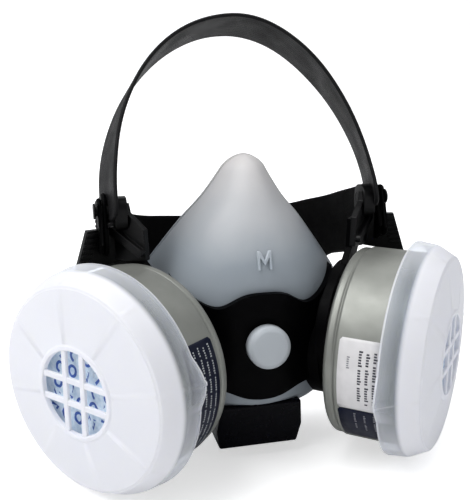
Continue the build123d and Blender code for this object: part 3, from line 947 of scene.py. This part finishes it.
def make_sorbent(can):
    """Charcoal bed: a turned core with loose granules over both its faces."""
    name = f"{can.side}_sorbent_bed"
    reach, back, front = can.measure(name)
    grain, pitch = 0.75 * MM, 1.7 * MM
    core_r = 0.05 * MM
    low, high = back + grain, front - grain
    body = rounded([(core_r, low, 0), (reach, low, grain), (reach, high, grain), (core_r, high, 0)])
    core = lathe(f"{can.side}_bed_core", can, body, CHARCOAL, 120)
    verts, faces = [], []
    rows = int(reach / pitch)
    for row in range(-rows, rows + 1):
        for column in range(-rows - 1, rows + 1):
            seed = row * 12.9 + column * 78.2
            x = (column + 0.5 * (row % 2) + 0.3 * sin(seed)) * pitch
            y = (row + 0.3 * sin(seed * 1.7)) * pitch * 0.88
            if hypot(x, y) < reach - grain:
                for station in (low, high):
                    add_grain(can, verts, faces, Vector((x, y)), station, grain, seed)
    grains = new_piece(f"{can.side}_grains", verts, faces, CHARCOAL)
    finished(join(f"{can.side}_charcoal", [core, grains]), f"{can.side}_cartridge", "sorbent", name)


def add_grain(can, verts, faces, spot, station, size, seed):
    """One chipped pebble: a double cone with six uneven sides."""
    first = len(verts)
    sides = 6
    for side in range(sides):
        turn = 2 * pi * side / sides + seed
        wide = size * (0.85 + 0.25 * sin(seed + side * 2.1))
        verts.append(can.flat(spot.x + wide * cos(turn), spot.y + wide * sin(turn), station))
    for way in (-1, 1):
        verts.append(can.flat(spot.x, spot.y, station + way * size * 0.95))
    for side in range(sides):
        after = (side + 1) % sides
        faces.append((first + side, first + after, first + sides + 1))
        faces.append((first + after, first + side, first + sides))


# ---------------------------------------------------------------- labels
def patch(name, can, turns, stations, lift, material, thick=0.1 * MM, corner=1.0 * MM):
    """A thin curved patch on the can's side, between two turns in degrees and two stations."""
    start, end = (radians(turn) for turn in turns)
    low, high = stations
    radius = CAN_R + lift
    columns = max(2, int((end - start) * radius / (1.2 * MM)))
    rows = 5
    verts = []
    for row in range(rows):
        for column in range(columns + 1):
            share = column / columns
            tight = min(share, 1 - share) * (end - start) * radius
            inset = corner - sqrt(max(corner ** 2 - (corner - tight) ** 2, 0)) if tight < corner else 0
            station = low + inset + (high - low - 2 * inset) * row / (rows - 1)
            verts.append(can.at(radius, start + (end - start) * share, station))
    piece = new_piece(name, verts, grid_faces(rows, columns + 1), material)
    body = piece.modifiers.new("body", "SOLIDIFY")
    body.thickness = thick
    body.offset = 1
    apply_modifiers(piece)
    return piece


def printed_lines(name, can, turns, stations, rows, tall, material, stroke):
    """Rows of short strokes grouped like words round the can, standing for lines of print; stroke in mm."""
    parts = []
    low, high = stations
    degrees_per_mm = degrees(MM / CAN_R)
    for row in range(rows):
        station = low + (high - low) * (row + 0.5) / rows
        turn = turns[0] + (row % 2) * 1.0
        count = 0
        while turn < turns[1] - stroke * degrees_per_mm:
            height = tall * (1.0 if (row * 3 + count * 7) % 5 else 1.35)
            band_edges = (station - tall / 2, station - tall / 2 + height)
            stop = turn + stroke * degrees_per_mm
            parts.append(patch("stroke", can, (turn, stop), band_edges, 0.16 * MM, material, 0.02 * MM, 0))
            gap = 1.3 if (count + row) % 6 == 5 else 0.4
            turn = stop + gap * degrees_per_mm
            count += 1
    return join(name, parts)


def make_labels():
    """White date label on the right can, dark labels on both, with generic dashes in place of print."""
    low, high = 6.8 * MM, 24.3 * MM
    for side, name, turns, slot, paper, node_name in (
        ("right", "date_label", (68, 110), "white_label", WHITE_LABEL, "right_service_label"),
        ("right", "right_dark_label", (110.5, 141), "dark_label", DARK_LABEL, "right_canister_label"),
        ("left", "left_dark_label", (61, 135), "dark_label", DARK_LABEL, "left_canister_label"),
    ):
        label = patch(name, CANS[side], turns, (low, high), 0.05 * MM, paper)
        finished(label, f"{side}_cartridge", slot, node_name)
    for side, name, turns, lowest, highest, rows, tall, ink, stroke, slot in (
        ("right", "date_lines", (74, 106), 7.8, 17.2, 3, 1.2, DARK_INK, 0.75, "white_label"),
        ("right", "date_small_line", (78, 86), 3, 5.6, 1, 0.9, GREY_INK, 0.5, "white_label"),
        ("right", "right_dark_lines", (113, 128), 5, 17.5, 3, 0.7, GREY_INK, 0.6, "dark_label"),
        ("left", "left_dark_lines", (64, 130), 1, 16.5, 5, 0.7, PALE_INK, 0.6, "dark_label"),
    ):
        stations = (low + lowest * MM, low + highest * MM)
        lines = printed_lines(name, CANS[side], turns, stations, rows, tall * MM, ink, stroke)
        finished(lines, f"{side}_cartridge", slot)


# ---------------------------------------------------------------- straps
def band(name, path, across, half_width, thick, tip, material, twist=None, belly=0.0, trim=0.0):
    """A flat ribbed elastic strap swept along (point, outward) stations, with rounded tips.

    twist gives, for each station's share of the length, the angle by which the leading edge flares outwards.
    belly deepens the strap on its lower side, away from its ends, and trim cuts that side back near them.
    """
    lengths = [0.0]
    for (before, _), (spot, _) in zip(path, path[1:]):
        lengths.append(lengths[-1] + (spot - before).length)
    total = lengths[-1]
    ribs, per_rib = 13, 4
    section = []
    for step in range(ribs * per_rib + 1):
        share = step / (ribs * per_rib) * 2 - 1
        edge = max(0.0, 1 - (1 - abs(share)) / 0.05)
        rib = 0.025 * MM * cos(share * ribs * pi) * (1 - edge)
        lift = thick / 2 * sqrt(1 - edge * edge * 0.96) + rib
        section.append((share, lift))
    section += [(share, -lift) for share, lift in section[::-1]]
    verts, along_values, across_values = [], [], []
    for (spot, outward), length in zip(path, lengths):
        near = min(length, total - length)
        half = half_width - tip + sqrt(max(tip ** 2 - (tip - min(near, tip)) ** 2, 0))
        half += 0.12 * MM * sin(length * 190) * smooth_step(0, 2 * tip, near)
        sag = belly * smooth_step(55 * MM, 85 * MM, near) - trim * (1 - smooth_step(27 * MM, 42 * MM, near))
        half += sag
        spot = spot - across * sag
        flare = radians(twist(length / total)) if twist else 0
        wide = across * cos(flare) + outward * sin(flare)
        face = outward * cos(flare) - across * sin(flare)
        for share, lift in section:
            verts.append(spot + wide * (share * half) + face * lift)
            along_values.append(length)
            across_values.append(share * half)
    count = len(section)
    faces = grid_faces(len(path), count, close_columns=True)
    faces += [tuple(range(count)), tuple(range(len(verts) - count, len(verts)))]
    piece = new_piece(name, verts, faces, material, weld=False)
    set_attribute(piece, "along", along_values)
    set_attribute(piece, "across", across_values)
    return piece


def loop_path(base, side, ahead, half_width, rise, tail, droop=0.0, steps=260):
    """Half an ellipse with straight tails: points and outward directions, in equal small steps.

    droop pulls the shoulder on the first side inwards, as slack elastic does.
    """
    path = []
    for t in np.linspace(tail, 0, 10)[:-1]:
        path.append((base + side * half_width - ahead * float(t), side.copy()))
    for t in np.linspace(0, pi, steps):
        slack = droop * max(sin(2 * t), 0)
        spot = base + side * (half_width * cos(t) - slack) + ahead * (rise * sin(t))
        outward = side * (rise * cos(t)) + ahead * (half_width * sin(t))
        path.append((spot, outward.normalized()))
    for t in np.linspace(0, tail, 10)[1:]:
        path.append((base - side * half_width - ahead * float(t), -side))
    return path


SIDE = Vector((1, 0, 0))


def make_crown_strap():
    """Elastic strap over the crown of the head, leaning back."""
    lean = radians(21)
    ahead = Vector((0, sin(lean), cos(lean)))
    across = Vector((0, -cos(lean), sin(lean)))
    thick = 1.6 * MM
    rise = 75.2 * MM + thick / 2
    path = loop_path(PIN + ahead * (6 * MM), SIDE, ahead, 59.4 * MM + thick / 2, rise, 11 * MM, 4 * MM)

    def twist(share):
        """The ends follow the splayed clips: the strap's front edge toes in above both of them."""
        right = through([(0, -9), (0.06, -13), (0.16, -12), (0.3, -6), (0.5, 0)], share)
        left = through([(0.5, 0), (0.65, 0), (0.8, -6), (0.9, -10), (1, -9)], share)
        return right if share < 0.5 else left

    strap = band("crown_elastic", path, across, 13 * MM, thick, 6 * MM, WEBBING, twist)
    finished(strap, "crown_band", "strap_webbing", "crown_strap")


def make_nape_strap():
    """Elastic strap round the back of the neck, doubled back and stitched at both pins."""
    drop = radians(18.65)
    ahead = Vector((0, cos(drop), -sin(drop)))
    across = Vector((0, sin(drop), cos(drop)))
    thick = 1.8 * MM
    base = PIN + ahead * (13 * MM) - across * (7.5 * MM)
    half = 61.5 * MM + thick / 2
    loop = loop_path(base, SIDE, ahead, half, 110 * MM + thick / 2, 16 * MM)
    shape = {"belly": 4.5 * MM, "trim": 1.9 * MM}
    parts = [band("nape_main", loop, across, 15.5 * MM, thick, 5 * MM, SHADED_NAPE_WEBBING, **shape)]
    for sign in (1, -1):
        side = SIDE * sign
        fold = []
        for t in np.linspace(-17, 0, 24):
            fold.append((base + side * (half + 2.2 * MM) + ahead * (float(t) * MM), side.copy()))
        parts.append(band("nape_fold", fold, across, 13 * MM, 1.6 * MM, 3 * MM, SHADED_NAPE_WEBBING, trim=1.2 * MM))
        parts.append(stitches(base + side * (half + 3.1 * MM), ahead, across, side))
    piece = join("nape_elastic", parts)
    finished(piece, "neck_band", "strap_webbing", "nape_strap")


def stitches(base, ahead, across, side):
    """Two rows of thread across the doubled end."""
    parts = []
    for row in (-2.5 * MM, -4.5 * MM):
        for step in range(-4, 6):
            middle = base + ahead * row + across * (step * 2.1 * MM)
            verts = []
            for t in np.linspace(-1, 1, 7):
                bow = (1 - t * t) * 0.35 * MM
                for turn in range(6):
                    angle = turn * pi / 3
                    ring = ahead * (cos(angle) * 0.22 * MM) + side * (sin(angle) * 0.22 * MM)
                    verts.append(middle + across * (t * 0.75 * MM) + side * (bow - 0.1 * MM) + ring)
            parts.append(new_piece("stitch", verts, grid_faces(7, 6, close_columns=True), THREAD))
    return join("stitches", parts)


# ---------------------------------------------------------------- CAD nodes that are shown as they are
def dress(material, *names):
    """Give CAD nodes a material."""
    for name in names:
        piece = frame["nodes"][name]
        for holder in piece.material_slots:
            holder.link = "OBJECT"
            holder.material = material


def dress_all():
    for side in CANS:
        dress(CLIP, f"{side}_harness_clip", f"{side}_harness_pin")
        dress(SEAT, f"{side}_port_connector", f"{side}_cartridge_neck")
        dress(TIN, f"{side}_retaining_screen")
    dress(BLACK, "yoke")
    dress(GLOSS, "exhalation_valve_guard")
    dress(SEAT, "exhalation_valve_seat")


# ---------------------------------------------------------------- studio
def soft_light(name, place, aim, size, power):
    lamp = bpy.data.lights.new(name, "AREA")
    lamp.shape = "RECTANGLE"
    lamp.size = size[0]
    lamp.size_y = size[1]
    lamp.energy = power
    holder = bpy.data.objects.new(name, lamp)
    bpy.context.scene.collection.objects.link(holder)
    holder.location = place
    holder.rotation_euler = (Vector(aim) - Vector(place)).to_track_quat("-Z", "Y").to_euler()


def backdrop_paper():
    """Pale paper that reads near white to the camera yet still takes a soft shadow."""
    material, tree, shader = new_material("backdrop", (0.9, 0.9, 0.905), 0.85)
    lift = calculate(tree, "MULTIPLY", node(tree, "LightPath"), 0.55)
    fill(tree, shader, Emission_Strength=lift, Emission_Color=(1, 1, 1, 1))
    return material


def studio():
    """Pale floor and backdrop in one sweep, an even sky and four soft lights."""
    world = bpy.data.worlds.new("studio")
    world.use_nodes = True
    tree = world.node_tree
    soft = fill(tree, tree.nodes["Background"], Color=(0.95, 0.97, 1.0, 1), Strength=0.30)
    seen = node(tree, "Background", Color=(1, 1, 1, 1), Strength=1.0)
    fill(tree, tree.nodes["World Output"], node(tree, "MixShader", node(tree, "LightPath"), soft, seen))
    bpy.context.scene.world = world
    floor_z = START_BOUNDS[0][2] - 1 * MM
    reach = 3.0
    back = 1.2
    bend = 0.5
    rows = [(-reach, floor_z), (back, floor_z)]
    for step in range(1, 13):
        turn = radians(90 * step / 12)
        rows.append((back + bend * sin(turn), floor_z + bend * (1 - cos(turn))))
    rows.append((back + bend, floor_z + reach))
    verts = [(x, y, z) for y, z in rows for x in (-reach, reach)]
    new_piece("floor", verts, grid_faces(len(rows), 2), backdrop_paper())
    middle = (0, 0, 0.03)
    soft_light("key", (-0.65, -0.1, 1.05), middle, (1.0, 1.0), 16)
    soft_light("fill", (0.95, -0.65, 0.45), middle, (0.8, 0.8), 2.8)
    soft_light("front", (-1.1, -0.6, 0.7), middle, (1.0, 0.8), 1.9)
    soft_light("rim", (0.35, 0.4, 1.1), middle, (1.2, 0.6), 5)


def camera():
    """Camera in front, above and a little to the left of the mask, as the object is best known."""
    lens = bpy.data.cameras.new("camera")
    lens.sensor_width = 36.0
    lens.lens = 59.28
    holder = bpy.data.objects.new("camera", lens)
    bpy.context.scene.collection.objects.link(holder)
    azimuth = radians(-14.217)
    elevation = radians(15.435)
    level = Vector((sin(azimuth), -cos(azimuth), 0))
    back = level * cos(elevation) + UP * sin(elevation)
    target = Vector((-5.4, 13.3, 42.0)) * MM
    holder.location = target + back * (367.3 * MM)
    holder.rotation_euler = back.to_track_quat("Z", "Y").to_euler()
    bpy.context.scene.camera = holder
    bpy.context.scene.view_settings.view_transform = "Standard"


dress_all()
make_facepiece()
make_button()
for one_can in CANS.values():
    make_can(one_can)
    make_cover(one_can)
    make_pad(one_can)
    make_flap(one_can, f"{one_can.side}_inhalation_valve_flap", f"{one_can.side}_inhalation_flap", -1)
    make_gasket(one_can)
    make_felt(one_can)
    make_sorbent(one_can)
make_flap(CHIN, "exhalation_valve_flap", "exhalation_flap", 1)
make_labels()
make_crown_strap()
make_nape_strap()
studio()
camera()
